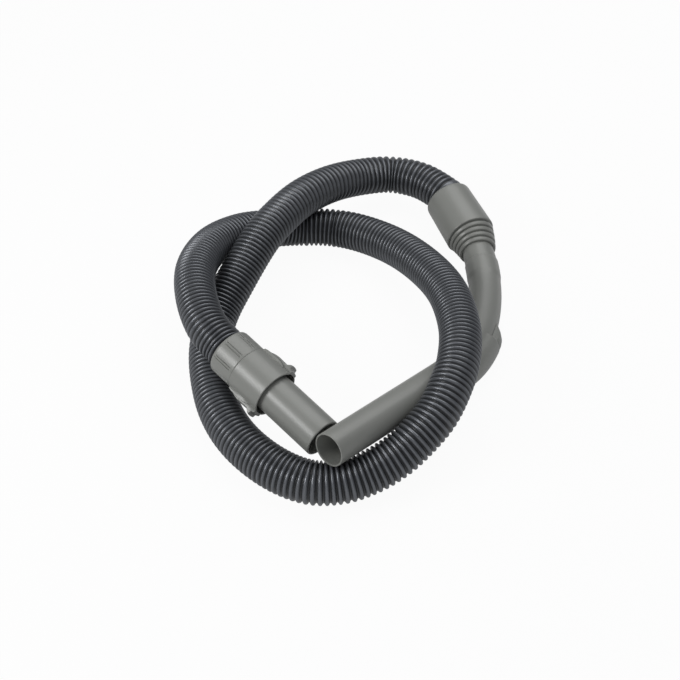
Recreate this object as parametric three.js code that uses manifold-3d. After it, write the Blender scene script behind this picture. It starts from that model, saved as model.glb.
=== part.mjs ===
// A vacuum cleaner hose as it lies when it is put down: a ribbed hose with the machine's plug-in
// connector on one end and the bent handle on the other.
// Millimetres, +Z up. The origin is on the floor, under the middle of the two rigid fittings.

import * as THREE from 'three';
import { mergeVertices } from 'three/addons/utils/BufferGeometryUtils.js';
import Module from 'manifold-3d';

const wasm = await Module();
wasm.setup();

// Clearances
const seat = 0.3; // between pieces that touch
const run = 0.35; // round the swivel, the trunnions and the slide's key
const boreClearance = 0.7; // round the hose's ends in the cuffs
const ringPlay = 0.15; // of the retaining ring in its groove

// Hose
const hoseRadius = 20;
const hoseSides = 12;
const hoseSteps = 78;

// Machine cuff, along +X from the hose to the swivel
const cuffRear = 3;
const cuffFront = 29.5;
const cuffRadius = 23;
const cuffEdge = 2.4; // rounding of the end that the hose enters
const cuffPlug = 16; // length of hose that is screwed in
const airRadius = 16; // the air's way through the inner pieces
const grooveCount = 9; // pairs of grip grooves round the cuff
const grooveWidth = 0.9;
const grooveDepth = 0.7;
const groovePitch = 2.6; // between the two grooves of a pair
const grooveMargin = 3; // from the rounded end

// Swivel between the cuff and the connector
const spigotRadius = 18.4;
const spigotLength = 14;
const ringWidth = 1.6;
const ringGroove = 0.9; // depth of the retaining ring's groove
const ringReach = 1.1; // how far the ring stands out of the spigot
const ringFromEnd = 2.4;
const ringSlit = 3;
const washerThickness = 1.2;
const washerInset = 1; // of the washer's rim from the hub's

// Connector: tube and collar
const hubWall = 1.5;
const tubeRadius = 18.8;
const tubeDraft = 0.2; // the tube's mouth is this much smaller in radius
const tubeWall = 1.7;
const tubeEnd = 129.5;
const tubeEdge = 0.7; // rounding of the tubes' ends
const collarRadius = 23.8;
const collarWall = 1.7;
const collarMouth = 67;
const collarEdge = 0.7;
const collarLip = 2.2; // length of the lip that seats the collar on the hub

// Latches
const latchWidth = 14;
const latchTail = 5; // from the window's rear to the pivot
const latchLift = 1; // of the lever over the hub
const latchTailRise = 1; // of the tail's underside behind the pivot
const latchTailWall = 1.5;
const pivotDepth = 0.8; // of the pivot under the collar's surface
const trunnionRadius = 0.9;
const trunnionReach = 1.4;
const cheekWidth = 2;
const cheekTop = 2; // height of the cheeks over the pivot
const cheekFoot = 1.5;
const padHeight = 3.6; // of the pressing pad over the collar
const hookHeight = 6; // of the hook over the collar
const hookFromMouth = 5.5;
const hookFlat = 1.6;
const ridgeCount = 4;
const ridgeDepth = 1;

// Handle, drawn in the plane of its bends
const handleRadius = 15.8; // at the open end
const gripRadius = 16.5;
const handleWall = 1.5;
const handleStraight = 150;
const elbowRadius = 192;
const elbowAngle = 30.1;
const gripBendRadius = 236;
const gripBendAngle = 26.7;
const neckBendRadius = 110;
const neckBendAngle = 13.2;
const handleLength = 337.5; // of the handle tube along its middle line
const socketLength = 20; // of the tube over the neck's spigot
const socketStep = 0.7; // the socket's extra radius
const socketBlend = 6;

// Suction control: a raised housing on the outer side of the bend, with a slide over a vent
const housingStart = 142; // along the middle line
const housingEnd = 226;
const housingHeight = 9.3;
const housingRadius = 15.6; // of its rounded back
const slideLength = 22;
const slideHeight = 8.6;
const slideWidth = 24;
const slideTravel = 7;
const ventWidth = 8;
const ventLength = 6.5;
const keyLength = 3;
const footDepth = 1.5;
const footReach = 1.4;

// Neck and cuff at the handle's other end
const neckVisible = 18.5;
const neckRadius = 16.3;
const neckWall = 1.4;
const ringCount = 4; // flexible rings between the sleeve and the neck
const ringPitch = 6.1;
const ringThickness = 2.2;
const ringDepth = 2.6;
const ringWall = 1.2;
const rimRadius = 19;
const bellowsRadius = 25.3;
const sleeveLength = 54.6; // smooth part of the cuff
const sleeveFrontRadius = 26.3;
const sleeveRearRadius = 24.9;
const sleeveEdge = 4;
const sleeveLip = 2; // thickness of the lip round the hose
const shoulderWidth = 2;
const flangeThickness = 2.5;
const sealThickness = 2;
const bushWall = 2.1;
const handlePlug = 22; // length of hose that is screwed in

// Places of the fittings, and the hose's way from the machine end to the handle
const origin = [-32.04, -51.99, -0.7];
const machinePlace = { at: [-36.3, -111, 60.5], yaw: -1, pitch: 8, roll: -62 };
const handlePlace = { at: [114.4, -128.1, 58], yaw: 1.5, pitch: -10.5, roll: 14.7 };
const hoseRoute = [
  [-17.5, -111.3, 57.9], [-31.3, -111.1, 59.8], [-38.3, -111, 60.8], [-69, -107, 66], [-105, -89, 68], [-138, -61, 65],
  [-161, -22, 56], [-169, 20, 43], [-165, 58, 29], [-148, 92, 21], [-112, 121, 21.5],
  [-60, 129, 30], [-5, 119, 43], [50, 96, 56], [96, 62, 63], [125, 28, 63], [140, -1, 58],
  [148, -27, 50], [149, -52, 41], [146, -76, 32], [138, -101, 25], [125, -125, 21.5], [104, -145, 21],
  [70, -155.5, 21], [28, -155.5, 21], [-12, -144, 20.8], [-50, -122, 21.5], [-79, -98, 25],
  [-100, -69, 32.5], [-115, -31, 45], [-130, 16, 60], [-139, 52, 64], [-147, 92, 62],
  [-151, 136, 53], [-148, 178, 41], [-132.5, 210.8, 35], [-100.3, 225, 36.5], [-64, 225.1, 36.8],
  [-57.6, 222.6, 35.6], [-38.8, 215.3, 32.1],
];

const plastic = { color: 0x7d7e76, roughness: 0.42, metalness: 0 };
const darkPlastic = { color: 0x34363a, roughness: 0.5, metalness: 0 };
const rubber = { color: 0x1c1c1e, roughness: 0.85, metalness: 0 };
const steel = { color: 0xb8babd, roughness: 0.3, metalness: 1 };
const hosePlastic = { color: 0x4a4d53, roughness: 0.38, metalness: 0.3 };

const radians = THREE.MathUtils.degToRad;

// Signed volume of an indexed mesh; it is negative where the faces point inwards.
function volumeOf(vertices, triangles) {
  let sum = 0;
  const [a, b, c] = [new THREE.Vector3(), new THREE.Vector3(), new THREE.Vector3()];
  for (let i = 0; i < triangles.length; i += 3) {
    a.fromArray(vertices, 3 * triangles[i]);
    b.fromArray(vertices, 3 * triangles[i + 1]);
    c.fromArray(vertices, 3 * triangles[i + 2]);
    sum += a.dot(b.cross(c)) / 6;
  }
  return sum;
}

// Turns a closed three.js geometry into a solid that can be cut and joined.
function solid(geometry) {
  geometry.deleteAttribute('normal');
  geometry.deleteAttribute('uv');
  const merged = mergeVertices(geometry, 1e-4);
  const vertices = merged.attributes.position.array;
  const triangles = [];
  for (let i = 0; i < merged.index.count; i += 3) {
    const [a, b, c] = [0, 1, 2].map((k) => merged.index.getX(i + k));
    if (a !== b && b !== c && c !== a) triangles.push(a, b, c);
  }
  if (volumeOf(vertices, triangles) < 0) triangles.reverse();
  return new wasm.Manifold(new wasm.Mesh({
    numProp: 3,
    vertProperties: Float32Array.from(vertices),
    triVerts: Uint32Array.from(triangles),
  }));
}

// Makes a named mesh from a solid.
function piece(name, body, finish) {
  const cut = body.getMesh();
  const geometry = new THREE.BufferGeometry();
  geometry.setAttribute('position', new THREE.BufferAttribute(Float32Array.from(cut.vertProperties), 3));
  geometry.setIndex(new THREE.BufferAttribute(Uint32Array.from(cut.triVerts), 1));
  geometry.computeVertexNormals();
  const mesh = new THREE.Mesh(geometry, new THREE.MeshStandardMaterial(finish));
  mesh.name = name;
  return mesh;
}

// Revolves a closed profile of [x, radius] corners round the X axis.
function turned(profile, segments = 40) {
  const points = [...profile, profile[0]].map(([x, r]) => new THREE.Vector2(r, x));
  return solid(new THREE.LatheGeometry(points, segments).rotateZ(-Math.PI / 2));
}

// A block from x0 to x1, centred on Y, from z0 to z1.
function block(x0, x1, width, z0, z1) {
  const box = new THREE.BoxGeometry(x1 - x0, width, z1 - z0);
  return solid(box.translate((x0 + x1) / 2, 0, (z0 + z1) / 2));
}

// A round bar along Y.
function barAcross(radius, length, x, z, sides = 16) {
  return solid(new THREE.CylinderGeometry(radius, radius, length, sides).translate(x, 0, z));
}

// Rounded corner from angle a0 to a1 round a centre, as profile corners.
function rounded(cx, cr, radius, a0, a1, steps = 4) {
  return Array.from({ length: steps + 1 }, (_, i) => {
    const angle = radians(a0 + ((a1 - a0) * i) / steps);
    return [cx + radius * Math.cos(angle), cr + radius * Math.sin(angle)];
  });
}

// Machine fitting. Its own axis is X, with x = 0 just behind the cuff; +Z is a latch's outward side.

const cuffStop = cuffRear + cuffPlug + seat;
const hoseBore = hoseRadius + boreClearance;
const spigotEnd = cuffFront + spigotLength;
const ringX = spigotEnd - ringFromEnd - ringWidth;
const hubBore = spigotRadius + run;
const chamberRadius = spigotRadius + ringReach + run;
const hubRadius = chamberRadius + hubWall;
const hubRear = cuffFront + washerThickness + 2 * seat;
const hubFront = spigotEnd + 2;
const hubCone = hubFront + 2 * (hubRadius - tubeRadius);
const collarRear = cuffFront + seat;
const collarInner = collarRadius - collarWall;
const windowRear = collarRear + collarLip;
const latchSlot = latchWidth + 2 * run;
const latchPivotX = windowRear + latchTail;
const latchPivotZ = collarRadius - pivotDepth;
const latchTop = collarRadius + padHeight;
const hookX = collarMouth - hookFromMouth;

function makeMachineCuff() {
  const body = turned([
    [cuffRear, hoseBore],
    ...rounded(cuffRear + cuffEdge, cuffRadius - cuffEdge, cuffEdge, 180, 90),
    [cuffFront, cuffRadius],
    [cuffFront, spigotRadius],
    [ringX, spigotRadius],
    [ringX, spigotRadius - ringGroove],
    [ringX + ringWidth, spigotRadius - ringGroove],
    [ringX + ringWidth, spigotRadius],
    [spigotEnd, spigotRadius],
    [spigotEnd, airRadius],
    [cuffStop, airRadius],
    [cuffStop, hoseBore],
  ], 40);
  const grooves = [];
  for (let i = 0; i < grooveCount; i += 1) {
    for (const side of [-0.5, 0.5]) {
      const bottom = cuffRadius - grooveDepth;
      const groove = block(cuffRear + grooveMargin, cuffFront + 1, grooveWidth, bottom, cuffRadius + 1);
      const turn = (360 * i) / grooveCount + THREE.MathUtils.radToDeg((side * groovePitch) / cuffRadius);
      grooves.push(groove.rotate([turn, 0, 0]));
    }
  }
  return grooves.reduce((cuff, groove) => cuff.subtract(groove), body);
}

function makeWasher() {
  const [x0, x1] = [cuffFront + seat, cuffFront + seat + washerThickness];
  const outer = hubRadius - washerInset;
  return turned([[x0, hubBore], [x0, outer], [x1, outer], [x1, hubBore]], 24);
}

// Split ring that snaps into the spigot's groove and keeps the connector on it.
function makeRetainingRing() {
  const [x0, x1] = [ringX + ringPlay, ringX + ringWidth - ringPlay];
  const inner = spigotRadius - ringGroove + ringPlay;
  const outer = spigotRadius + ringReach;
  const ring = turned([[x0, inner], [x0, outer], [x1, outer], [x1, inner]], 28);
  return ring.subtract(block(x0 - 1, x1 + 1, ringSlit, -outer - 1, 0));
}

function makeConnectorTube() {
  const bore = tubeRadius - tubeWall;
  return turned([
    [hubRear, hubBore],
    [hubRear, hubRadius],
    [hubFront, hubRadius],
    [hubCone, tubeRadius],
    [tubeEnd - tubeEdge, tubeRadius - tubeDraft],
    [tubeEnd, tubeRadius - tubeDraft - tubeEdge / 2],
    [tubeEnd, bore - tubeDraft],
    [spigotEnd + seat + chamberRadius - bore, bore],
    [spigotEnd + seat, chamberRadius],
    [ringX - seat, chamberRadius],
    [ringX - seat, hubBore],
  ], 36);
}

// A latch: a two-armed lever that rocks on its trunnions, with a ribbed pad and a hook at the front.
function makeLatch() {
  const [rear, front] = [windowRear + seat, collarMouth - seat];
  const under = hubRadius + latchLift;
  const ring = turned([
    [rear, under + latchTailRise],
    [rear, under + latchTailRise + latchTailWall],
    [latchPivotX - 1, collarRadius + 1.6],
    [latchPivotX + 6, latchTop],
    [hookX - 4, latchTop - 0.4],
    [hookX, collarRadius + hookHeight],
    [hookX + hookFlat, collarRadius + hookHeight],
    [hookX + hookFlat + 0.6, latchTop - 0.8],
    [front, collarRadius + 1.8],
    [front, collarRadius - 1.2],
    [latchPivotX + 8, under + 0.4],
    [latchPivotX + 2, under],
  ], 60);
  let latch = ring.intersect(block(rear, front, latchWidth, 0, latchTop + hookHeight));
  const ribPitch = (hookX - 6 - latchPivotX - 8) / ridgeCount;
  for (let i = 0; i < ridgeCount; i += 1) {
    const x = latchPivotX + 8 + i * ribPitch;
    latch = latch.subtract(block(x, x + ribPitch * 0.4, latchWidth - 3, latchTop - ridgeDepth, latchTop + 2));
  }
  return latch.add(barAcross(trunnionRadius, latchWidth + 2 * trunnionReach, latchPivotX, latchPivotZ, 14));
}

// The collar stands round the connector's root, with a window and two cheeks for each latch.
function makeCollar() {
  const lip = hubRadius + seat;
  let collar = turned([
    [collarRear, lip],
    [collarRear, collarRadius - collarEdge],
    [collarRear + collarEdge, collarRadius],
    [collarMouth - collarEdge, collarRadius],
    [collarMouth, collarRadius - collarEdge / 2],
    [collarMouth, collarInner],
    [windowRear, collarInner],
    [windowRear, lip],
  ], 60);
  const cheek = new THREE.Shape();
  const foot = collarInner - cheekFoot;
  cheek.moveTo(windowRear, foot);
  cheek.lineTo(windowRear, latchPivotZ + cheekTop - 1);
  cheek.lineTo(latchPivotX - 1, latchPivotZ + cheekTop);
  cheek.lineTo(hookX - 9, latchPivotZ + cheekTop);
  cheek.lineTo(hookX - 3, collarRadius - 1.6);
  cheek.lineTo(hookX - 3, foot);
  const cheekSpan = latchSlot + 2 * cheekWidth;
  const bar = new THREE.ExtrudeGeometry(cheek, { depth: cheekSpan, bevelEnabled: false });
  const cheeks = solid(bar.rotateX(Math.PI / 2).translate(0, cheekSpan / 2, 0));
  const window = block(windowRear, collarMouth + 1, latchSlot, 0, collarRadius + hookHeight + 2);
  const bearingSpan = latchWidth + 2 * (trunnionReach + seat);
  const bearing = barAcross(trunnionRadius + run, bearingSpan, latchPivotX, latchPivotZ, 14);
  const cut = window.add(bearing);
  for (const turn of [0, 180]) {
    collar = collar.add(cheeks.rotate([turn, 0, 0])).subtract(cut.rotate([turn, 0, 0]));
  }
  return collar;
}

const machine = new THREE.Group();
machine.add(piece('machine_cuff', makeMachineCuff(), plastic));
machine.add(piece('swivel_washer', makeWasher(), rubber));
machine.add(piece('swivel_retaining_ring', makeRetainingRing(), steel));
machine.add(piece('connector_tube', makeConnectorTube(), plastic));
machine.add(piece('connector_collar', makeCollar(), plastic));
machine.add(piece('latch_upper', makeLatch(), plastic));
machine.add(piece('latch_lower', makeLatch().rotate([180, 0, 0]), plastic));
machine.position.set(...machinePlace.at);
machine.rotation.set(
  radians(machinePlace.roll),
  radians(machinePlace.pitch),
  radians(machinePlace.yaw),
  'ZYX',
);

// Handle. Its middle line lies in its own XY plane: from the open end along +Y, then turning left.

const legs = [
  [handleStraight, 0, 1],
  [elbowRadius * radians(elbowAngle), radians(elbowAngle), 7],
  [gripBendRadius * radians(gripBendAngle), radians(gripBendAngle), 7],
  [neckBendRadius * radians(neckBendAngle), radians(neckBendAngle), 3],
];

// Distances at which the bends are faceted
const stops = [];
legs.reduce((start, [length, , count]) => {
  for (let i = 1; i <= count; i += 1) stops.push(start + (length * i) / count);
  return start + length;
}, 0);

// The middle line's place and heading at a distance from the open end.
function middleLine(distance) {
  let [x, y, heading, left] = [0, 0, Math.PI / 2, distance];
  for (const [length, turn] of [...legs, [Infinity, 0]]) {
    const travel = Math.min(left, length);
    const angle = turn === 0 ? 0 : (turn * travel) / length;
    const chord = angle === 0 ? travel : ((2 * travel) / angle) * Math.sin(angle / 2);
    x += chord * Math.cos(heading + angle / 2);
    y += chord * Math.sin(heading + angle / 2);
    heading += angle;
    left -= travel;
  }
  return { x, y, heading };
}

// Sweeps a closed profile of [distance, radius, shift] corners along the handle's middle line.
// The shift moves a ring's centre to the outer side of the bends.
function swept(profile, segments = 26) {
  const rings = profile.flatMap(([s0, r0, d0 = 0], i) => {
    const [s1, r1, d1 = 0] = profile[(i + 1) % profile.length];
    const between = stops.filter((s) => s > Math.min(s0, s1) + 0.4 && s < Math.max(s0, s1) - 0.4);
    if (s1 < s0) between.reverse();
    const { lerp, inverseLerp } = THREE.MathUtils;
    return [s0, ...between].map((s) => {
      const t = s === s0 ? 0 : inverseLerp(s0, s1, s);
      return [s, lerp(r0, r1, t), lerp(d0, d1, t)];
    });
  });
  const positions = [];
  const index = [];
  rings.forEach(([distance, radius, shift], i) => {
    const { x, y, heading } = middleLine(distance);
    for (let k = 0; k < segments; k += 1) {
      const out = shift + radius * Math.cos((2 * Math.PI * k) / segments);
      const up = radius * Math.sin((2 * Math.PI * k) / segments);
      positions.push(x + out * Math.sin(heading), y - out * Math.cos(heading), up);
      const [a, b] = [i * segments + k, i * segments + ((k + 1) % segments)];
      const next = ((i + 1) % rings.length) * segments;
      const [c, d] = [next + k, next + ((k + 1) % segments)];
      index.push(a, b, c, c, b, d);
    }
  });
  const geometry = new THREE.BufferGeometry();
  geometry.setAttribute('position', new THREE.Float32BufferAttribute(positions, 3));
  geometry.setIndex(index);
  return solid(geometry);
}

// Turns a body so that its X runs along the handle at a distance and its Z points to the outer side.
function atDistance(body, distance) {
  const { x, y, heading } = middleLine(distance);
  const along = new THREE.Vector3(Math.cos(heading), Math.sin(heading), 0);
  const across = new THREE.Vector3(0, 0, 1);
  const out = new THREE.Vector3().crossVectors(along, across);
  return body.transform(new THREE.Matrix4().makeBasis(along, across, out).setPosition(x, y, 0).elements);
}

const tubeBore = gripRadius - handleWall;
const neckSpigot = tubeBore - seat;
const neckBore = neckSpigot - neckWall;
const cuffRim = handleLength + neckVisible;
const sleeveFront = cuffRim + ringCount * ringPitch;
const sleeveRear = sleeveFront + sleeveLength;
const flangeStart = sleeveFront + shoulderWidth + seat;
const flangeEnd = flangeStart + flangeThickness;
const sealEnd = flangeEnd + seat + sealThickness;
const bushFront = sealEnd + seat;
const bushRear = sleeveRear - sleeveLip - seat;
const bushStop = sleeveRear - handlePlug;
const bushRadius = hoseBore + bushWall;
const sleeveBore = bushRadius + seat;

// Slide, its key and the vent, along the middle line
const slideNear = housingEnd + seat;
const slideFar = slideNear + slideLength;
const ventNear = slideNear + 1.2;
const keyNear = ventNear + ventLength + 2;
const keyFar = keyNear + keyLength;
const ventFar = keyFar + slideTravel + run;

// A bar along the bend that is as wide as asked and reaches from one radius to another.
function sector(near, far, width, inner, outer) {
  const ring = swept([[near, inner], [near, outer], [far, outer], [far, inner]], 48);
  return ring.intersect(atDistance(block(-60, 60, width, 0, 2 * outer), (near + far) / 2));
}

function makeHandleTube() {
  const tube = swept([
    [0, handleRadius - tubeEdge / 2],
    [tubeEdge, handleRadius],
    [handleStraight, gripRadius],
    [handleLength - socketLength - socketBlend, gripRadius],
    [handleLength - socketLength, gripRadius + socketStep],
    [handleLength - tubeEdge, gripRadius + socketStep],
    [handleLength, gripRadius + socketStep - tubeEdge / 2],
    [handleLength, tubeBore],
    [handleStraight, tubeBore],
    [0, handleRadius - handleWall],
  ]);
  // The housing rises fast behind its start and ends in a step under the slide.
  const back = [0, 0.08, 0.18, 0.32, 0.5, 0.72, 0.93, 1].map((t) => {
    const height = t < 1 ? housingHeight * (1 - (1 - t) ** 3) : housingHeight - 1;
    const s = THREE.MathUtils.lerp(housingStart, housingEnd, t);
    return [s, housingRadius, gripRadius - housingRadius - 0.4 + height];
  });
  const inner = (tubeBore + gripRadius) / 2;
  const housing = swept([[housingStart, 0], ...back, [housingEnd, 0]]);
  const bore = swept([[housingStart - 5, 0], [housingStart - 5, inner], [housingEnd + 5, inner], [housingEnd + 5, 0]]);
  return tube.add(housing.subtract(bore)).subtract(sector(ventNear, ventFar, ventWidth, tubeBore - 3, gripRadius + 3));
}

// The slide: a thumb hump behind the housing, with a key and foot that reach through the vent.
function makeSlide() {
  const sole = gripRadius + seat;
  const lift = gripRadius - housingRadius;
  const hump = swept([
    [slideNear, 0],
    [slideNear, housingRadius, lift + 0.9 * slideHeight],
    [slideNear + 0.2 * slideLength, housingRadius, lift + slideHeight],
    [slideNear + 0.42 * slideLength, housingRadius, lift + 0.92 * slideHeight],
    [slideNear + 0.68 * slideLength, housingRadius, lift + 0.62 * slideHeight],
    [slideNear + 0.9 * slideLength, housingRadius, lift + 0.26 * slideHeight],
    [slideFar, housingRadius, lift + 0.12 * slideHeight],
    [slideFar, 0],
  ]);
  const under = swept([[slideNear - 9, 0], [slideNear - 9, sole], [slideFar + 9, sole], [slideFar + 9, 0]], 52);
  const sides = atDistance(block(-60, 60, slideWidth, 4, 60), (slideNear + slideFar) / 2);
  const key = sector(keyNear, keyFar, ventWidth - 2 * run, tubeBore - footDepth, sole + 1);
  const foot = sector(keyNear, keyFar, ventWidth + 2 * footReach, tubeBore - footDepth, tubeBore - run);
  return hump.subtract(under).intersect(sides).add(key).add(foot);
}

function makeNeck() {
  return swept([
    [handleLength - socketLength, neckSpigot - tubeEdge / 2],
    [handleLength - socketLength + tubeEdge, neckSpigot],
    [handleLength + seat, neckSpigot],
    [handleLength + seat, neckRadius],
    [flangeStart, neckRadius],
    [flangeStart, bushRadius],
    [flangeEnd, bushRadius],
    [flangeEnd, neckBore],
    [handleLength - socketLength, neckBore],
  ]);
}

function makeHandleCuff() {
  const rings = [];
  for (let i = 0; i < ringCount; i += 1) {
    const s = cuffRim + i * ringPitch;
    const r = (along) => THREE.MathUtils.lerp(rimRadius, bellowsRadius, along / (sleeveFront - cuffRim));
    const crest = i * ringPitch;
    rings.push(
      [s, r(crest) - 0.3],
      [s + ringThickness, r(crest + ringThickness)],
      [s + ringThickness + 0.3, r(crest + ringThickness) - ringDepth],
      [s + ringPitch - 0.3, r(crest + ringPitch) - ringDepth],
    );
  }
  const inside = neckRadius + seat;
  const corner = rounded(sleeveRear - sleeveEdge, sleeveRearRadius - sleeveEdge, sleeveEdge, 90, 0, 3);
  return swept([
    ...rings,
    [sleeveFront, sleeveFrontRadius - 0.5],
    [sleeveFront + 1, sleeveFrontRadius],
    ...corner,
    [sleeveRear, hoseBore],
    [sleeveRear - sleeveLip, hoseBore],
    [sleeveRear - sleeveLip, sleeveBore],
    [sleeveFront + shoulderWidth, sleeveBore],
    [sleeveFront + shoulderWidth, bellowsRadius - ringDepth - ringWall],
    [sleeveFront, bellowsRadius - ringDepth - ringWall],
    [cuffRim + ringThickness, inside],
    [cuffRim, inside],
  ], 30);
}

function makeSeal() {
  const [s0, s1] = [flangeEnd + seat, sealEnd];
  return swept([[s0, neckSpigot], [s0, bushRadius - 1], [s1, bushRadius - 1], [s1, neckSpigot]], 24);
}

// Bush that the hose's end is screwed into.
function makeBush() {
  return swept([
    [bushFront, airRadius],
    [bushFront, bushRadius],
    [bushFront + flangeThickness, bushRadius],
    [bushFront + flangeThickness, airRadius + bushWall],
    [bushStop - flangeThickness, airRadius + bushWall],
    [bushStop - flangeThickness, bushRadius],
    [bushRear, bushRadius],
    [bushRear, hoseBore],
    [bushStop, hoseBore],
    [bushStop, airRadius],
  ], 24);
}

const handle = new THREE.Group();
handle.add(piece('handle_tube', makeHandleTube(), plastic));
handle.add(piece('suction_slide', makeSlide(), plastic));
handle.add(piece('handle_neck', makeNeck(), plastic));
handle.add(piece('handle_cuff', makeHandleCuff(), plastic));
handle.add(piece('handle_seal', makeSeal(), rubber));
handle.add(piece('handle_bush', makeBush(), darkPlastic));
handle.position.set(...handlePlace.at);
handle.rotation.set(
  radians(handlePlace.pitch),
  radians(handlePlace.roll),
  radians(handlePlace.yaw),
  'ZXY',
);

// Hose, as a plain bar of its outer size.
function makeHose() {
  const section = new THREE.Shape();
  for (let i = 0; i < hoseSides; i += 1) {
    const angle = (2 * Math.PI * i) / hoseSides;
    section[i ? 'lineTo' : 'moveTo'](hoseRadius * Math.cos(angle), hoseRadius * Math.sin(angle));
  }
  const route = hoseRoute.map((point) => new THREE.Vector3(...point));
  const extrudePath = new THREE.CatmullRomCurve3(route, false, 'catmullrom', 0.5);
  return solid(new THREE.ExtrudeGeometry(section, { steps: hoseSteps, extrudePath, bevelEnabled: false }));
}

const fittings = new THREE.Group();
fittings.add(machine, handle, piece('hose', makeHose(), hosePlastic));
fittings.position.set(...origin);

const hoseAssembly = new THREE.Group();
hoseAssembly.add(fittings);

export default hoseAssembly;
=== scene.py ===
import math
import bpy
import numpy as np
from mathutils import Matrix


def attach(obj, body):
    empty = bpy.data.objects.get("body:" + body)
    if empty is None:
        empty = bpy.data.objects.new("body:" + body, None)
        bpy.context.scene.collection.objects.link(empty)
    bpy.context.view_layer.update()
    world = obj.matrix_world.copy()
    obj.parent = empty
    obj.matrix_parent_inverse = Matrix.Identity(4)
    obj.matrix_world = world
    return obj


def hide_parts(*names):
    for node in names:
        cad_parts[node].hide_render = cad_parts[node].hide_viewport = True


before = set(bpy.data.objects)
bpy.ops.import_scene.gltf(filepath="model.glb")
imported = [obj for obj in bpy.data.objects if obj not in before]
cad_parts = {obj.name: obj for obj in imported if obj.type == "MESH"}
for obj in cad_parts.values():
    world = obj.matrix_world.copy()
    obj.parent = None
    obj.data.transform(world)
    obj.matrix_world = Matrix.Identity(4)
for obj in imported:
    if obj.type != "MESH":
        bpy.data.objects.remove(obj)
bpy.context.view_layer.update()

# Studio. The hose lies on a flat white floor before a white world, and the camera looks down on it
# at 45 degrees. A small lamp stands in front on the left, a wide one hangs over the far side, and
# a weak one in front on the right lifts the undersides.
scene = bpy.context.scene
scene.view_settings.view_transform = "Standard"

eye = np.array([0.57996, -0.66399, 0.8848])
aim = np.array([-0.03204, -0.05199, 0.0193])


def look(location, target):
    """Rotation that points an object's -Z from a location to a target, with its X level."""
    z = location - target
    z = z / np.linalg.norm(z)
    x = np.cross([0, 0, 1], z)
    x = x / np.linalg.norm(x)
    turn = np.eye(4)
    turn[:3, 0], turn[:3, 1], turn[:3, 2], turn[:3, 3] = x, np.cross(z, x), z, location
    return turn


def put(thing, matrix):
    """Places a lamp or the camera by its matrix."""
    thing.matrix_world = Matrix(matrix.tolist())
    scene.collection.objects.link(thing)


lens = bpy.data.cameras.new("camera")
lens.sensor_width = 36
lens.lens = 66.5
lens.clip_start = 0.05  # m, closer than anything in view
camera = bpy.data.objects.new("camera", lens)
put(camera, look(eye, aim))
scene.camera = camera

coil_middle = np.array([0.0, 0.0, 0.04])
for name, place, size, power in [
    ("left_softbox", [-0.5, -1.1, 0.85], 0.5, 9.0),
    ("top_softbox", [-0.2, 0.55, 1.25], 1.3, 11.0),
    ("right_softbox", [0.75, -0.85, 0.4], 0.9, 1.4),
]:
    lamp = bpy.data.lights.new(name, "AREA")
    lamp.shape = "SQUARE"
    lamp.size = size
    lamp.energy = power
    put(bpy.data.objects.new(name, lamp), look(np.array(place), coil_middle))


class Finish:
    """A material or world under construction. node() adds any node from its type, its settings and
    the values or links of its sockets: i0 is the first socket, Base_Color the one of that name."""

    def __init__(self, name, world=False):
        owner = scene.world if world else bpy.data.materials.new(name)
        owner.use_nodes = True
        self.owner, self.tree = owner, owner.node_tree
        self.tree.nodes.clear()

    def node(self, kind, settings=None, out=0, **sockets):
        node = self.tree.nodes.new("ShaderNode" + kind)
        for key, value in (settings or {}).items():
            setattr(node, key, value)
        for key, value in sockets.items():
            wanted = int(key[1:]) if key[0] == "i" and key[1:].isdigit() else key.replace("_", " ")
            socket = node.inputs[wanted]
            if isinstance(value, Value):
                value = value.socket
            if isinstance(value, bpy.types.NodeSocket):
                self.tree.links.new(value, socket)
            else:
                socket.default_value = value
        return Value(self, node.outputs[out]) if len(node.outputs) else None


class Value:
    """A socket's value in a material: +, * and ** add its Math nodes, and + and * also follow a
    number."""

    def __init__(self, finish, socket):
        self.finish, self.socket = finish, socket

    def maths(self, operation, *values):
        sockets = {f"i{k}": v for k, v in enumerate(values)}
        return self.finish.node("Math", {"operation": operation}, **sockets)

    def __add__(self, other):
        return self.maths("ADD", self, other)

    def __mul__(self, other):
        return self.maths("MULTIPLY", self, other)

    def __pow__(self, other):
        return self.maths("POWER", self, other)

    __radd__ = __add__
    __rmul__ = __mul__

    def above(self, other):
        """The larger of the two."""
        return self.maths("MAXIMUM", self, other)


scene.world = bpy.data.worlds.new("studio")
sky = Finish("studio", world=True)
path = sky.node("LightPath")
seen = path.above(Value(sky, path.socket.node.outputs["Is Transmission Ray"]))
fill, backdrop = (0.3, 0.306, 0.322, 1), (1, 1, 1, 1)
colour = sky.node("Mix", {"data_type": "RGBA"}, 2, i0=seen, i6=fill, i7=backdrop)
sky.node("OutputWorld", i0=sky.node("Background", i0=colour, i1=1.0))

floor_mesh = bpy.data.meshes.new("floor")
half_floor = 3
floor_corners = [(x * half_floor, y * half_floor, 0) for x, y in ((-1, -1), (1, -1), (1, 1), (-1, 1))]
floor_mesh.from_pydata(floor_corners, [], [(0, 1, 2, 3)])
floor = bpy.data.objects.new("floor", floor_mesh)
scene.collection.objects.link(floor)
paper = Finish("white_paper")
path = paper.node("LightPath")
lit = paper.node("BsdfDiffuse", i0=(0.66, 0.66, 0.66, 1))
white = paper.node("Emission", i0=(1, 1, 1, 1), i1=1.0)
gloss = Value(paper, path.socket.node.outputs["Is Glossy Ray"])
seen_white, mirrored_white = 0.95, 0.3
share = path * seen_white + gloss * mirrored_white
paper.node("OutputMaterial", i0=paper.node("MixShader", i0=share, i1=lit, i2=white))
floor_mesh.materials.append(paper.owner)

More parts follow.
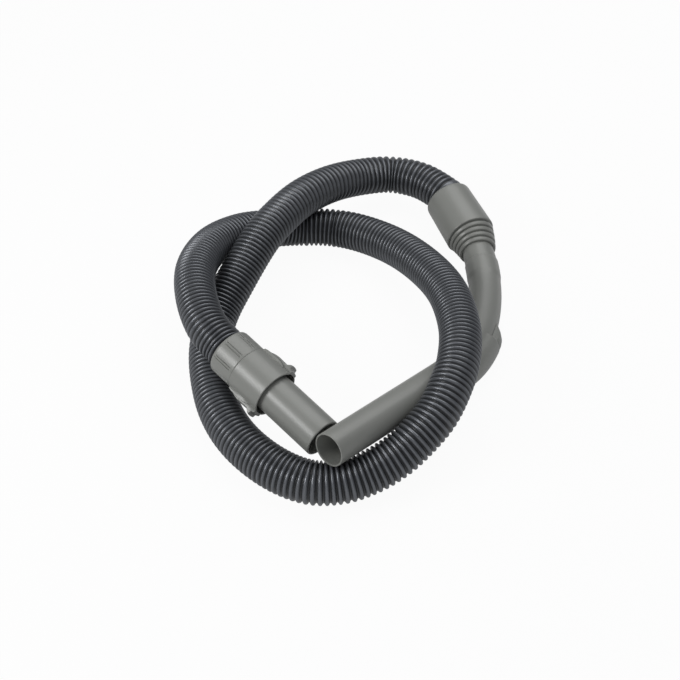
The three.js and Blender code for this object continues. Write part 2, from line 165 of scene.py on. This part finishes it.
# Hose. A 40 mm stretch hose of grey plastic with a metallic sheen, blown into round-crested ribs.
# It leaves the machine's cuff, goes once round, crosses itself twice and ends in the handle's cuff.
hose_radius = 0.020
rib_depth = 0.0027
coil_at = np.array([-0.03204, -0.05199, -0.0007])
route = np.array([
    [-17.5, -111.3, 57.9], [-31.3, -111.1, 59.8], [-38.3, -111, 60.8], [-69, -107, 66],
    [-105, -89, 68], [-138, -61, 65], [-161, -22, 56], [-169, 20, 43], [-165, 58, 29],
    [-148, 92, 21], [-112, 121, 21.5], [-60, 129, 30], [-5, 119, 43], [50, 96, 56],
    [96, 62, 63], [125, 28, 63], [140, -1, 58], [148, -27, 50], [149, -52, 41], [146, -76, 32],
    [138, -101, 25], [125, -125, 21.5], [104, -145, 21], [70, -155.5, 21], [28, -155.5, 21],
    [-12, -144, 20.8], [-50, -122, 21.5], [-79, -98, 25], [-100, -69, 32.5], [-115, -31, 45],
    [-130, 16, 60], [-139, 52, 64], [-147, 92, 62], [-151, 136, 53], [-148, 178, 41],
    [-132.5, 210.8, 35], [-100.3, 225, 36.5], [-64, 225.1, 36.8], [-57.6, 222.6, 35.6],
    [-38.8, 215.3, 32.1],
]) / 1000 + coil_at


def smooth_route(points, per_span=60):
    """Uniform Catmull-Rom curve through the points, and the length along it up to each of its own:
    (2 b + (c - a) t + (2 a - 5 b + 4 c - d) t^2 + (3 b - a - 3 c + d) t^3) / 2 from b to c."""
    before = np.vstack([2 * points[0] - points[1], points[:-1]])
    after = np.vstack([points[1:], 2 * points[-1] - points[-2]])
    p0, p1, p2, p3 = before[:-1, None], points[:-1, None], points[1:, None], after[1:, None]
    t = np.linspace(0, 1, per_span, endpoint=False)[None, :, None]
    curve = 0.5 * (2 * p1 + (p2 - p0) * t + (2 * p0 - 5 * p1 + 4 * p2 - p3) * t**2
                   + (3 * p1 - p0 - 3 * p2 + p3) * t**3)
    curve = np.vstack([curve.reshape(-1, 3), points[-1]])
    length = np.concatenate([[0], np.cumsum(np.linalg.norm(np.diff(curve, axis=0), axis=1))])
    return curve, length


def grid_faces(rows, columns, closed_rows=False):
    """Quads between the rows of a grid whose columns run round and close."""
    last = rows if closed_rows else rows - 1
    i, j = np.meshgrid(np.arange(last), np.arange(columns), indexing="ij")
    i2, j2 = (i + 1) % rows, (j + 1) % columns
    quads = [i * columns + j, i * columns + j2, i2 * columns + j2, i2 * columns + j]
    return np.stack(quads, -1).reshape(-1, 4)


def make_piece(name, points, quads, caps, crease):
    """A mesh object from points, quads and end caps, smooth but for edges over the crease angle."""
    mesh = bpy.data.meshes.new(name)
    sizes = np.concatenate([np.full(len(quads), 4), [len(c) for c in caps]]).astype(int)
    corners = np.concatenate([quads.ravel(), *[np.asarray(c) for c in caps]]).astype(int)
    mesh.vertices.add(len(points))
    mesh.vertices.foreach_set("co", np.ascontiguousarray(points, dtype=np.float32).ravel())
    mesh.loops.add(len(corners))
    mesh.loops.foreach_set("vertex_index", corners)
    mesh.polygons.add(len(sizes))
    mesh.polygons.foreach_set("loop_start", np.concatenate([[0], np.cumsum(sizes)[:-1]]).astype(int))
    mesh.polygons.foreach_set("use_smooth", np.ones(len(sizes), dtype=bool))
    mesh.update(calc_edges=True)
    mesh.validate()
    if crease:
        mesh.set_sharp_from_angle(angle=math.radians(crease))
    piece = bpy.data.objects.new(name, mesh)
    scene.collection.objects.link(piece)
    return piece


curve, curve_length = smooth_route(route)
# Where it lies down, its middle line is one radius above the floor.
curve[:, 2] = np.maximum(curve[:, 2], hose_radius)
hose_length = curve_length[-1]
# The rib pitch in mm at distances in mm: the hose is drawn out in the arc before the handle.
pitch_at = [0, 150, 200, 350, 450, 550, 650, 750, 850, 1000, 1100, 1170, 1250, 1350, 1420, 1465]
pitch_is = [4.6, 4.5, 4.9, 5.4, 5.3, 4.65, 4.85, 5.4, 4.82, 4.85, 4.55, 4.6, 6.1, 6.5, 5.9, 5.6]
fine = np.linspace(0, hose_length, 6000)
ribs_before = np.cumsum(np.gradient(fine) * 1000 / np.interp(fine * 1000, pitch_at, pitch_is))
rib_shape = np.array([0, 0.28, 0.82, 1, 1, 0.82, 0.28])
samples = len(rib_shape)
rows = int(ribs_before[-1]) * samples + 1
along = np.interp(np.linspace(0, ribs_before[-1], rows), ribs_before, fine)
centre = np.stack([np.interp(along, curve_length, curve[:, k]) for k in range(3)], 1)
ahead = np.gradient(centre, axis=0)
ahead /= np.linalg.norm(ahead, axis=1, keepdims=True)
side = np.cross(ahead, [0, 0, 1])
side /= np.linalg.norm(side, axis=1, keepdims=True)
over = np.cross(side, ahead)
crest = rib_shape[np.arange(rows) % samples]
columns = 44
turn = 2 * np.pi * np.arange(columns) / columns
radius = (hose_radius - rib_depth * (1 - crest))[:, None, None]
ring = np.cos(turn)[None, :, None] * side[:, None] + np.sin(turn)[None, :, None] * over[:, None]
points = (centre[:, None] + radius * ring).reshape(-1, 3)
caps = [np.arange(columns), np.arange(columns)[::-1] + (rows - 1) * columns]
hose = make_piece("ribbed_hose", points, grid_faces(rows, columns)[:, ::-1], caps, crease=0)
layer = hose.data.attributes.new("crest", "FLOAT", "POINT")
layer.data.foreach_set("value", np.repeat(crest, columns).astype(np.float32))

ribs = Finish("metallic_grey_ribs")
height = ribs.node("Attribute", {"attribute_name": "crest"}, out="Fac")
where = ribs.node("TexCoord", out="Object")
drift = ribs.node("TexNoise", Vector=where, Scale=45.0, Detail=3.0, out="Fac")
# The grooves are painted near-black: painted shade in the hollows between the ribs, while the crests
# carry the hose's own grey.
painted_groove_shade, light = (0.006, 0.007, 0.008, 1), (0.142, 0.149, 0.161, 1)
colour = ribs.node("Mix", {"data_type": "RGBA"}, 2, i0=height ** 1.4, i6=painted_groove_shade, i7=light)
roughness = 0.31 + 0.1 * drift
bump = ribs.node("Bump", Height=drift, Strength=0.05, Distance=0.0004)
shader = ribs.node("BsdfPrincipled", Base_Color=colour, Metallic=height * 0.7, Roughness=roughness,
                   Normal=bump)
ribs.node("OutputMaterial", i0=shader)
hose.data.materials.append(ribs.owner)
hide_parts("hose")
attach(hose, "hose_line")

# Machine cuff. A moulded cuff of mid-grey plastic with a fine matt grain is pushed on to the hose's
# end, with nine pairs of fine grooves for grip. Its front carries the spigot on which the connector
# turns.
cuff_radius, groove_pairs = 23, 9
groove_half, groove_slope, groove_cut = 0.6, 0.3, 0.7
grip_from, grip_to, run_out = 6, 26.5, 0.8


def plastic(name, tone, shine, grain):
    """Moulded plastic: base tone, roughness and the strength of its grain."""
    finish = Finish(name)
    where = finish.node("TexCoord", out="Object")
    cloud = finish.node("TexNoise", Vector=where, Scale=18.0, Detail=3.0, out="Fac")
    speck = finish.node("TexNoise", Vector=where, Scale=1600.0, Detail=2.0, out="Fac")
    rubbed = finish.node("TexNoise", Vector=where, Scale=60.0, Detail=4.0, Roughness=0.6, out="Fac")
    darker = tuple(0.9 * c for c in tone) + (1,)
    lighter = tuple(1.1 * c for c in tone) + (1,)
    mottle = 0.7 * cloud + 0.3 * speck
    colour = finish.node("Mix", {"data_type": "RGBA"}, 2, i0=mottle, i6=darker, i7=lighter)
    roughness = shine - 0.05 + 0.08 * rubbed + 0.04 * speck
    bump = finish.node("Bump", Height=speck, Strength=grain, Distance=0.0001)
    shader = finish.node("BsdfPrincipled", Base_Color=colour, Roughness=roughness, Normal=bump)
    finish.node("OutputMaterial", i0=shader)
    return finish.owner


grey_plastic = plastic("grey_plastic", (0.208, 0.212, 0.196), 0.34, 0.12)


def turning(*steps):
    """Rotation matrix of turns (axis, degrees), the last of which is done first."""
    whole = np.eye(3)
    for axis, degrees in steps:
        i, j = [(1, 2), (2, 0), (0, 1)]["xyz".index(axis)]
        turn = np.eye(3)
        turn[i, i] = turn[j, j] = math.cos(math.radians(degrees))
        turn[j, i] = math.sin(math.radians(degrees))
        turn[i, j] = -turn[j, i]
        whole = whole @ turn
    return whole


machine_turn = turning(("z", -1), ("y", 8), ("x", -62))
machine_at = np.array([-68.34, -162.99, 59.8])


def eased(outline, reach, steps=4):
    """Closed outline with each corner c between a and b swapped for the parabola
    (1 - t)^2 a + 2 t (1 - t) c + t^2 b, where a and b lie on its sides, `reach` from it."""
    outline = np.array(outline, float)
    t = np.linspace(0, 1, steps + 1)[:, None]
    points = []
    for k, (corner, part) in enumerate(zip(outline, np.broadcast_to(reach, len(outline)))):
        ends = [outline[k - 1], outline[(k + 1) % len(outline)]]
        lengths = [np.linalg.norm(end - corner) for end in ends]
        a, b = [corner + (end - corner) * min(part / size, 0.48) for end, size in zip(ends, lengths)]
        points.append((1 - t) ** 2 * a + 2 * t * (1 - t) * corner + t**2 * b)
    return np.vstack(points)


def closer(outline, step):
    """The same closed outline with points no further apart than a step."""
    points = []
    for a, b in zip(outline, np.roll(outline, -1, axis=0)):
        count = max(1, math.ceil(np.linalg.norm(b - a) / step))
        points.append(a + (b - a) * np.arange(count)[:, None] / count)
    return np.vstack(points)


def turned(outline, angles, cut=None):
    """Grid of a closed (x, r) outline turned about X: (x, r sin a, r cos a), with r less the cut where
    r is the cuff's own radius."""
    x, r = np.broadcast_to(outline[:, :1], (len(outline), len(angles))), outline[:, 1:]
    r = r - (cut(x, angles[None, :]) * (r > cuff_radius - 0.1) if cut else 0) + 0 * x
    return np.stack([x, r * np.sin(angles), r * np.cos(angles)], -1)


def shell(grid, rows_close=True, holes=None):
    """Points and outward faces of a grid whose columns close; open rows get flat caps."""
    rows, columns = grid.shape[:2]
    points = grid.reshape(-1, 3)
    quads = grid_faces(rows, columns, rows_close)
    if holes is not None:
        quads = quads[~holes]
    ends = [] if rows_close else [np.arange(columns)[::-1], np.arange(columns) + (rows - 1) * columns]
    a, b, c, d = (points[quads[:, k]] for k in range(4))
    volume = (np.cross(b, c) * a).sum() + (np.cross(c, d) * a).sum()
    for end in ends:
        rim = points[end]
        volume += (np.cross(rim[1:-1], rim[2:]) * rim[0]).sum()
    if volume < 0:
        quads, ends = quads[:, ::-1], [end[::-1] for end in ends]
    return points, quads, ends


def fitting(name, shells, at, turn, body):
    """A grey piece of a fitting from its shells in mm, placed in the row frame on its body."""
    points, quads, caps, start = [], [], [], 0
    for grid, faces, ends in shells:
        points.append(grid)
        quads.append(faces + start)
        caps += [end + start for end in ends]
        start += len(grid)
    placed = (np.vstack(points) @ turn.T + at) / 1000
    piece = make_piece(name, placed, np.vstack(quads), caps, crease=38)
    piece.data.materials.append(grey_plastic)
    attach(piece, body)
    return piece


pair_half = np.array([-1.3, 1.3]) / cuff_radius
groove_at = (np.radians(np.arange(groove_pairs) * 360 / groove_pairs)[:, None] + pair_half).ravel()


def grooves(x, angles):
    """Depth of the nearest groove, whose walls slope in from its edges and whose ends run out."""
    away = np.abs((angles[..., None] - groove_at + np.pi) % (2 * np.pi) - np.pi).min(-1) * cuff_radius
    ends = np.clip(np.minimum(x - grip_from, grip_to - x) / run_out, 0, 1)
    return groove_cut * np.clip((groove_half - away) / groove_slope, 0, 1) * np.sin(ends * np.pi / 2)


beside = np.array([-0.75, -0.6, -0.45, -0.3, 0, 0.3, 0.45, 0.6, 0.75]) / cuff_radius
plain = np.arange(120) * np.pi / 60
around = np.concatenate([(groove_at[:, None] + beside).ravel(), plain]) % (2 * np.pi)
around = np.unique(np.round(around, 4))
outline = eased(
    [[3, 20.7], [3, cuff_radius], [29.5, cuff_radius], [29.5, 18.4], [39.5, 18.4], [39.5, 17.5],
     [41.1, 17.5], [41.1, 18.4], [43.5, 18.4], [43.5, 16], [19.3, 16], [19.3, 20.7]],
    [0.5, 2.4, 0.7, 0.2, 0.1, 0.1, 0.1, 0.1, 0.4, 0.3, 0.1, 0.1],
)
outline = closer(outline, 0.9)
cuff = fitting("grooved_cuff", [shell(turned(outline, around, grooves))], machine_at, machine_turn,
               "hose_line")
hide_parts("machine_cuff")

# Connector. The plug tube turns on the cuff's spigot, held by a washer and a spring ring in its root.
# Its collar stands clear of the tube at the front, with a window and two cheeks for each latch.
even = np.arange(112) * 2 * np.pi / 112
outline = eased(
    [[31.3, 18.75], [31.3, 21.35], [45.5, 21.35], [50.6, 18.8], [128.8, 18.6], [129.5, 18.25],
     [129.5, 16.9], [46.55, 17.1], [43.8, 19.85], [39.2, 19.85], [39.2, 18.75]],
    [0.2, 0.3, 1.5, 2.5, 0.4, 0.35, 0.4, 0.5, 0.3, 0.2, 0.2],
)
tube = fitting("plug_tube", [shell(turned(closer(outline, 6), even))], machine_at, machine_turn,
               "connector")
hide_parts("connector_tube")

collar_radius, collar_bore, window_half, cheek_width = 23.8, 22.1, 7.35, 2
mouth, rim_round, edge_cut, arc_points = 67, 0.9, 0.25, 60
outline = eased([[29.8, 21.65], [29.8, collar_radius], [32.2, collar_radius], [32.2, 21.65]],
                [0.2, 0.7, 0.05, 0.05])
shells = [shell(turned(outline, even))]


def half_collar(side):
    """Half of the collar between its windows: arcs from asin(y / r) off the latch line, r outer and
    inner, at stations along X that draw in by a quarter circle at the mouth."""
    rim = mouth - rim_round * np.cos(np.linspace(0, np.pi / 2, 7))
    loops = []
    for x in np.concatenate([[32.0], np.linspace(34, 64, 9), rim]):
        into_rim = max(0, x - (mouth - rim_round))
        lost = rim_round - math.sqrt(max(rim_round**2 - into_rim**2, 0))
        outer, inner = collar_radius - 0.8 * lost, collar_bore + 0.6 * lost
        gap = window_half + 0.5 * lost
        start, edge = math.asin((gap + edge_cut) / outer), outer - edge_cut
        stop, low = math.asin(gap / edge), math.asin(gap / inner)
        arc = np.linspace(start, np.pi - start, arc_points)
        upper = [(edge, stop)] + [(outer, a) for a in arc] + [(edge, np.pi - stop)]
        lower = [(inner, a) for a in np.linspace(np.pi - low, low, arc_points)]
        loops.append([(x, side * r * math.sin(a), r * math.cos(a)) for r, a in upper + lower])
    return shell(np.array(loops), rows_close=False)


shells += [half_collar(1), half_collar(-1)]


def plate(outline, layers, place):
    """A flat piece: the outline drawn in by each layer's inset at its depth, placed by a function."""
    middle = np.roll(outline, -1, axis=0) - np.roll(outline, 1, axis=0)
    normal = np.stack([middle[:, 1], -middle[:, 0]], 1)
    normal /= np.linalg.norm(normal, axis=1, keepdims=True) + 1e-12
    x, y = outline.T
    normal *= np.sign((x * np.roll(y, -1) - y * np.roll(x, -1)).sum())
    loops = [place(outline - inset * normal, depth) for depth, inset in layers]
    return shell(np.array(loops), rows_close=False)


cheek = closer(eased([[32.1, 20.9], [32.1, 24], [36, 25], [52.5, 25], [58.5, 22.6], [58.5, 20.9]],
                     [0.2, 0.8, 1.5, 3, 1, 0.2]), 2)
across_cheek = [(0, 0.3), (0.12, 0.08), (0.3, 0), (1.7, 0), (1.88, 0.08), (2, 0.3)]
for up in (1, -1):
    for start in (window_half, -window_half - cheek_width):
        layers = [(start + depth, inset) for depth, inset in across_cheek]
        shells.append(plate(cheek, layers,
                            lambda o, y: np.stack([o[:, 0], 0 * o[:, 0] + y, up * o[:, 1]], 1)))
collar = fitting("latch_collar", shells, machine_at, machine_turn, "connector")
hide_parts("connector_collar")

# Latches. Each is a lever on two trunnions between the cheeks, with cross ridges under the thumb and a
# hook at the front that snaps behind the edge of the machine's inlet.
pad_start, pad_end, pad_half, pad_radius = 45, 55.3, 5.9, 26
ridge_pitch, ridge_height, gap_half, gap_slope = 2.625, 0.9, 0.62, 0.3
pivot_at, pivot_half, pivot_radius = [37, 0, 23], 8.4, 0.9


def lever(name, body, node, up):
    """A lever: its side outline (x, r) laid across the collar as z = sqrt(r^2 - y^2), less the gaps
    between its ridges."""
    side = closer(eased(
        [[32.3, 23.35], [32.3, 24.85], [36, 25.4], [43, 27.4], [57.5, 27], [61.5, 29.8], [63.1, 29.8],
         [63.7, 26.6], [66.7, 25.6], [66.7, 22.6], [45, 22.75], [39, 22.35]],
        [0.4, 0.7, 2, 3, 1.6, 0.6, 0.6, 0.8, 0.7, 0.4, 1, 2]), 0.3)

    def across(outline, y):
        x, r = outline.T
        from_gap = np.abs((x - pad_start - 0.5) % ridge_pitch - 0.55)
        gap = np.clip((gap_half - from_gap) / gap_slope, 0, 1) * (x > pad_start) * (x < pad_end)
        r = r - ridge_height * gap * (r > pad_radius) * min(1, max(0, (pad_half - abs(y)) / 0.5))
        return np.stack([x, 0 * x + y, up * np.sqrt(r**2 - y**2)], 1)

    layers = [(-7, 0.45), (-6.88, 0.2), (-6.6, 0.04), (-6.3, 0), (-5.9, 0), (-5.65, 0), (-5.4, 0),
              (-3.6, 0), (-1.8, 0), (0, 0)]
    layers += [(-depth, inset) for depth, inset in layers[-2::-1]]
    rod = eased([[-pivot_half, 0.02], [-pivot_half, pivot_radius], [pivot_half, pivot_radius],
                 [pivot_half, 0.02]], [0.01, 0.3, 0.3, 0.01])
    rod = turned(rod, np.arange(24) * np.pi / 12)[..., [1, 0, 2]] + np.array(pivot_at) * [1, 1, up]
    piece = fitting(name, [plate(side, layers, across), shell(rod)], machine_at, machine_turn, body)
    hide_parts(node)


lever("upper_lever", "latch_a", "latch_upper", 1)
lever("lower_lever", "latch_b", "latch_lower", -1)

# Handle tube. It runs straight from its open end, bends left in three arcs, and swells on the outer
# side into the housing of the suction control, which ends in a step above the vent.
handle_turn = turning(("z", 1.5), ("x", -10.5), ("y", 14.7))
handle_at = np.array([82.36, -180.09, 57.3])
stride = 0.1
step = np.arange(0, 460, stride)
bends = [(192, 30.1), (236, 26.7), (110, 13.2)]  # radius in mm and turn in degrees
bend_ends = np.cumsum([0, 150] + [size * math.radians(turn) for size, turn in bends] + [200])
heading = np.radians(90 + np.interp(step, bend_ends, [0, 0, 30.1, 56.8, 70.0, 70.0]))
middle_x = np.concatenate([[0], np.cumsum(stride * np.cos((heading[1:] + heading[:-1]) / 2))])
middle_y = np.concatenate([[0], np.cumsum(stride * np.sin((heading[1:] + heading[:-1]) / 2))])


def bent(s, out, up):
    """Points along the handle's middle line (x, y)(s): out towards its right side, up along Z."""
    x, y, h = (np.interp(s, step, line) for line in (middle_x, middle_y, heading))
    return np.stack(np.broadcast_arrays(x + out * np.sin(h), y - out * np.cos(h), up), -1)


housing_from, housing_to, housing_radius = 142, 226, 15.6
housing_swell, step_from, step_round = 9.3, 224.6, 1.4
vent_half, vent_columns = math.radians(14.6), 8
vent_from, vent_to = 227.5, 246.35
around = np.concatenate([np.linspace(-vent_half, vent_half, vent_columns + 1),
                         np.linspace(vent_half, 2 * np.pi - vent_half, 97)[1:-1]])
stations = np.unique(np.concatenate([
    [0, 0.1, 0.3, 0.7], np.arange(6, 140, 4), np.arange(housing_from, 225, 1.5),
    [step_from, 225.1, 225.5, 225.8, 225.95, housing_to, 226.01, 226.02, vent_from, 228],
    np.arange(231, 246, 3), [vent_to, 248], np.arange(251, 311, 3),
    np.linspace(311.5, 317.5, 8), np.arange(320, 336, 4), [336.8, 337.2, 337.4, 337.5],
]))


def tube_outside(s, angle):
    """Radius of the tube or of the housing's ring, a circle of radius R whose centre lies c outwards:
    c cos a + sqrt(R^2 - c^2 sin^2 a), with their meeting line filled by a 1.5 mm smooth maximum."""
    plain = np.interp(s, [0, 0.1, 0.3, 0.7, 150, 311.5, 317.5, 336.8, 337.2, 337.4, 337.5],
                      [15.4, 15.6, 15.74, 15.8, 16.5, 16.5, 17.2, 17.2, 17.12, 17.0, 16.8])
    t = np.clip((s - housing_from) / (housing_to - housing_from), 0, 1)
    height = housing_swell * (1 - (1 - t) ** 3)
    near = np.clip((s - step_from) / step_round, 0, 1)
    centre = 0.5 + height - 1.0 * (1 - np.sqrt(1 - near**2)) - 0.5 * near
    inside = np.maximum(housing_radius**2 - (centre * np.sin(angle)) ** 2, 0)
    swells = (s >= housing_from) & (s <= housing_to)
    ring = np.where(swells, centre * np.cos(angle) + np.sqrt(inside), 0)
    blend = np.clip(1.5 - np.abs(plain - ring), 0, None) * (ring > 0)
    return np.maximum(plain, ring) + blend**2 / 6 * np.clip((s - housing_from) / 10, 0, 1)


rows_s, angles = stations[:, None], around[None, :]
outer = tube_outside(rows_s, angles)
inner = np.interp(stations, [0, 0.3, 150, 337.5], [14.5, 14.3, 15, 15])[:, None] + 0 * angles
outside = bent(rows_s, outer * np.cos(angles), outer * np.sin(angles))
inside = bent(rows_s, inner * np.cos(angles), inner * np.sin(angles))
grid = np.concatenate([outside, inside[::-1]])
half, columns = len(stations), len(around)
first, last = np.searchsorted(stations, [vent_from - 0.01, vent_to - 0.01])
row, column = np.divmod(np.arange(2 * half * columns), columns)
innermost = 2 * half - 1
in_vent = ((row >= first) & (row < last)) | ((row >= innermost - last) & (row < innermost - first))
points, quads, ends = shell(grid, holes=in_vent & (column < vent_columns))


def wall(a, b, back):
    """A face through the wall of the tube between two (station, column) points on its skins."""
    (i, c), (k, d) = a, b
    face = [i * columns + c, k * columns + d]
    face += [(innermost - k) * columns + d, (innermost - i) * columns + c]
    return face[::-1] if back else face


walls = [wall((i, c), (i + 1, c), c > 0) for i in range(first, last) for c in (0, vent_columns)]
walls += [wall((i, c), (i, c + 1), i == first) for i in (first, last) for c in range(vent_columns)]
handle = fitting("handle_pipe", [(points, np.vstack([quads, walls]), ends)], handle_at, handle_turn,
                 "hose_line")
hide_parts("handle_tube")

# Suction slide. A thumb hump behind the housing's step, which covers the vent. A key reaches through
# the vent to a foot that holds the slide down from inside.
slide_from, slide_to, slide_half, slide_seat = 226.3, 248.3, 12, 16.8
end_round, side_round = 1.2, 1.6
width = slide_half * np.sin(np.linspace(-np.pi / 2, np.pi / 2, 45))
into_side = np.maximum(np.abs(width) - (slide_half - side_round), 0)
rounding = side_round - np.sqrt(np.maximum(side_round**2 - into_side**2, 0))
loops = []
quarter = np.linspace(0, np.pi / 2, 6)
for s in np.concatenate([slide_from + end_round * (1 - np.cos(quarter)), np.linspace(228.5, 246.5, 19),
                         slide_to - end_round * (1 - np.sin(quarter))]):
    near = max(0, slide_from + end_round - s, s - slide_to + end_round)
    lost = end_round - math.sqrt(max(end_round**2 - near**2, 0))
    hump = np.interp((s - slide_from) / (slide_to - slide_from), [0, 0.2, 0.42, 0.68, 0.9, 1],
                     [0.9, 1, 0.92, 0.62, 0.26, 0.12])
    lift = 0.9 + 8.6 * hump
    low = np.sqrt(slide_seat**2 - width**2)
    ring = np.sqrt(housing_radius**2 - width**2)
    high = np.maximum(lift + ring - rounding - 0.8 * lost, low + 0.15)
    loops.append(np.vstack([bent(s, low, width), bent(s, high, width)[::-1]]))
shells = [shell(np.array(loops), rows_close=False)]
key, foot = (3.65, 13.5, 17.8), (5.4, 13.5, 14.65)
for half_width, low, high in (key, foot):
    loops = [[bent(s, low, -half_width), bent(s, low, half_width), bent(s, high, half_width),
              bent(s, high, -half_width)] for s in (236, 237.5, 239)]
    shells.append(shell(np.array(loops), rows_close=False))
slide = fitting("thumb_slide", shells, handle_at, handle_turn, "slide")
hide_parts("suction_slide")

# Neck and handle cuff. The neck is glued into the handle's socket and ends in a flange, which the cuff
# holds. The cuff's front is ringed so that it flexes, and the hose's bush sits in its sleeve.
even = np.arange(96) * 2 * np.pi / 96


def bent_ring(outline, step):
    """Grid of a closed (distance, radius) outline swept round the handle's middle line."""
    s, r = closer(outline, step).T[..., None]
    return bent(s, r * np.cos(even), r * np.sin(even))


outline = eased([[317.5, 14.35], [318.2, 14.7], [337.8, 14.7], [337.8, 16.3], [382.7, 16.3],
                 [382.7, 22.8], [385.2, 22.8], [385.2, 13.3], [317.5, 13.3]],
                [0.2, 0.2, 0.1, 0.5, 0.3, 0.4, 0.4, 0.3, 0.2])
neck = fitting("neck_tube", [shell(bent_ring(outline, 3))], handle_at, handle_turn, "hose_line")
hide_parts("handle_neck")

cuff_start, sleeve_start, ring_pitch, ring_width, groove_depth = 356, 380.4, 6.1, 3.5, 2.6
corners, reach = [], []
for i in range(4):
    s = cuff_start + ring_pitch * i
    r = np.interp([s, s + ring_width, s + ring_pitch], [cuff_start, sleeve_start], [19, 25.3])
    corners += [[s, r[0] - 0.1], [s + ring_width, r[1] + 0.1],
                [s + ring_width + 0.4, r[1] - groove_depth], [s + ring_pitch - 0.4, r[2] - groove_depth]]
    reach += [0.8, 0.8, 0.5, 0.5]
corners += [[sleeve_start, 26.2], [435, 24.9], [435, 20.7], [433, 20.7], [433, 23.1], [382.4, 23.1],
            [382.4, 21.5], [sleeve_start, 21.5], [358.2, 16.6], [cuff_start, 16.6]]
reach += [1.2, 4, 0.5, 0.3, 0.1, 0.1, 0.1, 0.3, 0.3, 0.3]
ringed = fitting("ringed_cuff", [shell(bent_ring(eased(corners, reach), 5))], handle_at, handle_turn,
                 "hose_line")
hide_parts("handle_cuff")

# Inner pieces. The washer and the bush of dark plastic, the split ring of spring steel and the rubber
# seal are hidden in the fittings and keep their plain solids.
dark_plastic = plastic("dark_plastic", (0.03, 0.03, 0.032), 0.45, 0.1)
rubber = plastic("seal_rubber", (0.018, 0.018, 0.018), 0.7, 0.2)

steel = Finish("spring_steel")
where = steel.node("TexCoord", out="Object")
streak = steel.node("TexNoise", Vector=where, Scale=400.0, Detail=3.0, out="Fac")
dull, bright = (0.4, 0.4, 0.41, 1), (0.62, 0.61, 0.6, 1)
tone = steel.node("Mix", {"data_type": "RGBA"}, 2, i0=streak, i6=dull, i7=bright)
shader = steel.node("BsdfPrincipled", Base_Color=tone, Metallic=1.0, Roughness=0.25 + 0.15 * streak)
steel.node("OutputMaterial", i0=shader)

for node, material in (("swivel_washer", dark_plastic), ("swivel_retaining_ring", steel.owner),
                       ("handle_seal", rubber), ("handle_bush", dark_plastic)):
    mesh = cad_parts[node].data
    mesh.materials.clear()
    mesh.materials.append(material)
